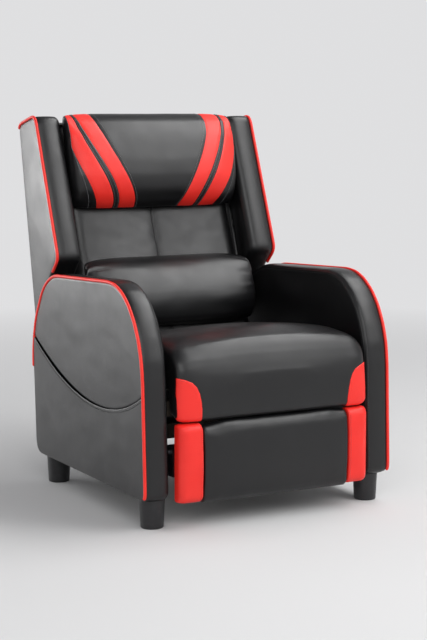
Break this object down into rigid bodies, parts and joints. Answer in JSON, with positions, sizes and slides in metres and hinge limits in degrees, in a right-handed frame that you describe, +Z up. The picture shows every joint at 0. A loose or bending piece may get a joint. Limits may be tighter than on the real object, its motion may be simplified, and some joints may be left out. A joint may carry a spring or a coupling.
{
  "type": "push-back gaming recliner",
  "caption": "Padded armchair that reclines when pushed back: winged back, head pillow, lumbar cushion, side pocket, and a footrest panel that swings out on links.",
  "frame": {"origin": "on the floor, under the middle of the chair's box at rest", "axes": "+Z up, the chair faces -Y, and the sitter's right is -X"},
  "size_m": [0.697, 0.842, 0.979],
  "materials": {
    "black_leather": "satin",
    "red_leather": "satin",
    "timber": "matte",
    "steel": "satin",
    "feet_plastic": "satin",
    "skirt_cloth": "matte"
  },
  "bodies": {
    "base": {"left_arm_cover": "black_leather", "right_arm_cover": "black_leather", "left_arm_frame": "timber", "right_arm_frame": "timber", "left_arm_piping": "red_leather", "right_arm_piping": "red_leather", "side_pocket": "black_leather", "front_stretcher": "timber", "rear_stretcher": "timber", "rear_skirt": "skirt_cloth", "left_base_plate": "steel", "right_base_plate": "steel", "front_left_foot": "feet_plastic", "front_right_foot": "feet_plastic", "rear_left_foot": "feet_plastic", "rear_right_foot": "feet_plastic"},
    "front_swing": {"left_front_swing_link": "steel", "right_front_swing_link": "steel"},
    "rear_swing": {"left_rear_swing_link": "steel", "right_rear_swing_link": "steel"},
    "seat": {"left_seat_rail": "steel", "right_seat_rail": "steel", "seat_frame": "timber", "seat_spring_1": "steel", "seat_spring_2": "steel", "seat_spring_3": "steel", "seat_spring_4": "steel", "seat_cushion": "black_leather"},
    "back": {"back_board": "timber", "left_back_upright": "timber", "right_back_upright": "timber", "back_bottom_rail": "timber", "back_top_rail": "timber", "back_rear_panel": "black_leather", "left_back_bracket": "steel", "right_back_bracket": "steel", "left_wing": "black_leather", "right_wing": "black_leather", "left_wing_piping": "red_leather", "right_wing_piping": "red_leather", "back_centre_pad": "black_leather", "lumbar_cushion": "black_leather", "head_pillow": "black_leather"},
    "rear_link": {"left_rear_link": "steel", "right_rear_link": "steel", "footrest_torque_tube": "steel"},
    "front_link": {"left_front_link": "steel", "right_front_link": "steel"},
    "lower_link": {"left_lower_link": "steel", "right_lower_link": "steel"},
    "upper_link": {"left_upper_link": "steel", "right_upper_link": "steel"},
    "footrest": {"footrest_board": "timber", "footrest_pad": "black_leather", "left_footrest_strip": "red_leather", "right_footrest_strip": "red_leather", "left_footrest_bracket": "steel", "right_footrest_bracket": "steel"}
  },
  "joints": [
    {"name": "recline", "type": "hinge", "parent": "base", "child": "rear_swing", "pos_m": [0, 0.11297, 0.238], "axis": [-1, 0, 0], "range_deg": [0, 50]},
    {"name": "seat_travel", "type": "hinge", "parent": "rear_swing", "child": "seat", "pos_m": [0, 0.11297, 0.168], "axis": [-1, 0, 0], "range_deg": [-50, 0]},
    {"name": "front_swing_turn", "type": "hinge", "parent": "base", "child": "front_swing", "pos_m": [0, -0.13703, 0.238], "axis": [-1, 0, 0], "range_deg": [0, 50]},
    {"name": "back_recline", "type": "hinge", "parent": "seat", "child": "back", "pos_m": [0, 0.19797, 0.265], "axis": [-1, 0, 0], "range_deg": [0, 38]},
    {"name": "footrest_rear_link", "type": "hinge", "parent": "seat", "child": "rear_link", "pos_m": [0, -0.29203, 0.225], "axis": [-1, 0, 0], "range_deg": [0, 100]},
    {"name": "footrest_front_link", "type": "hinge", "parent": "seat", "child": "front_link", "pos_m": [0, -0.331, 0.2475], "axis": [-1, 0, 0], "range_deg": [0, 100]},
    {"name": "footrest_lower_link", "type": "hinge", "parent": "rear_link", "child": "lower_link", "pos_m": [0, -0.20203, 0.06912], "axis": [-1, 0, 0], "range_deg": [-100, 0]},
    {"name": "footrest_upper_link", "type": "hinge", "parent": "rear_link", "child": "upper_link", "pos_m": [0, -0.22703, 0.11242], "axis": [-1, 0, 0], "range_deg": [-100, 0]},
    {"name": "footrest_tilt", "type": "hinge", "parent": "lower_link", "child": "footrest", "pos_m": [0, -0.31894, 0.13662], "axis": [-1, 0, 0], "range_deg": [0, 100]}
  ],
  "couplings": [
    {"joint": "seat_travel", "follows": "recline", "ratio": -1},
    {"joint": "front_swing_turn", "follows": "recline", "ratio": 1},
    {"joint": "back_recline", "follows": "recline", "ratio": 0.76},
    {"joint": "footrest_rear_link", "follows": "recline", "ratio": 2},
    {"joint": "footrest_front_link", "follows": "recline", "ratio": 2},
    {"joint": "footrest_lower_link", "follows": "recline", "ratio": -2},
    {"joint": "footrest_upper_link", "follows": "recline", "ratio": -2},
    {"joint": "footrest_tilt", "follows": "recline", "ratio": 2}
  ]
}
